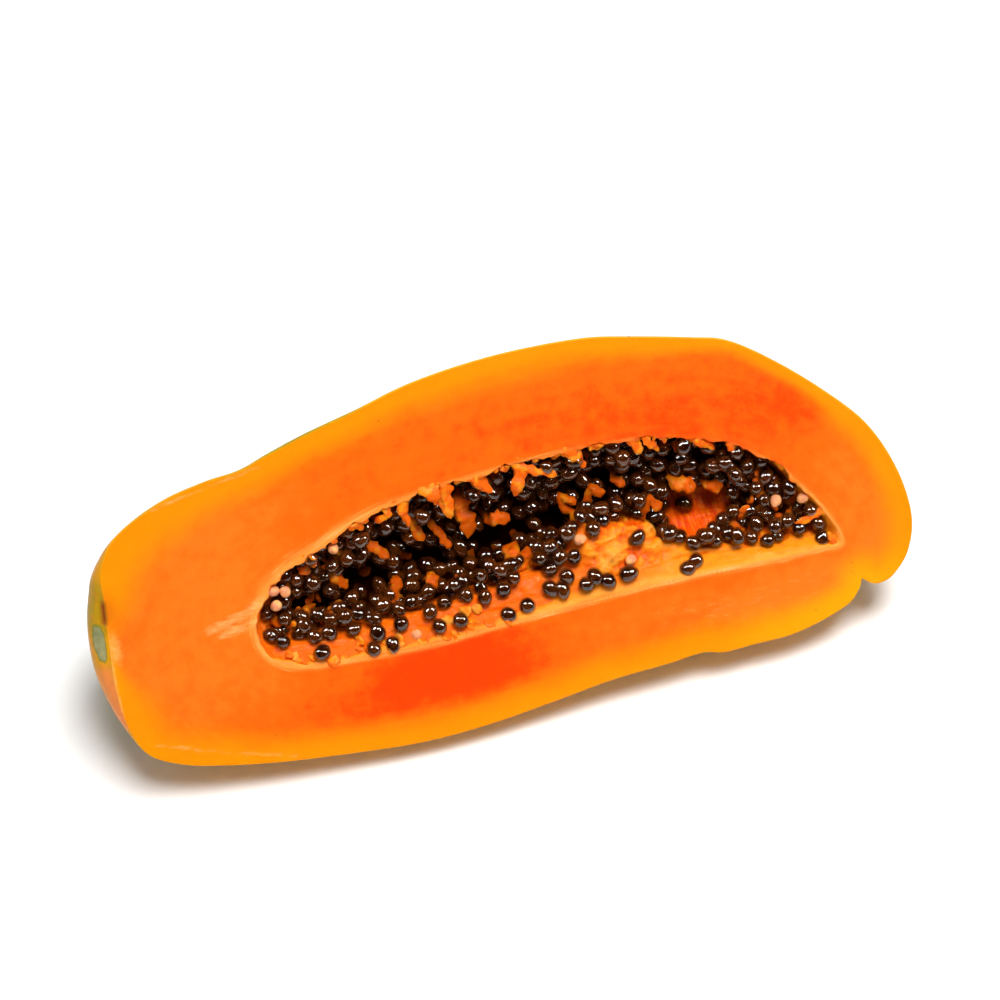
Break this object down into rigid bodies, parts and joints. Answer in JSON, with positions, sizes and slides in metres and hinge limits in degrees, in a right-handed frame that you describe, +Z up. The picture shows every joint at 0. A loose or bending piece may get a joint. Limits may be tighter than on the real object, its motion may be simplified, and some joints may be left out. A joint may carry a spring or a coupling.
{
  "type": "papaya half",
  "caption": "Long papaya cut in half lengthwise, resting on its skin with the cut face leaning back and an open cavity lined with glossy dark seeds.",
  "frame": {"origin": "bottom centre of the bounding box, on the surface that the half rests on", "axes": "+X along the fruit from the stem end to the blossom end, +Y away from the side that the cut face looks to, +Z up"},
  "size_m": [0.2924, 0.1044, 0.111],
  "materials": {
    "flesh": "moist satin orange flesh with a thin yellow-green skin",
    "seeds": "wet glossy dark brown seeds on orange pulp"
  },
  "bodies": {
    "root": {"flesh": "flesh", "seeds": "seeds"}
  },
  "joints": []
}
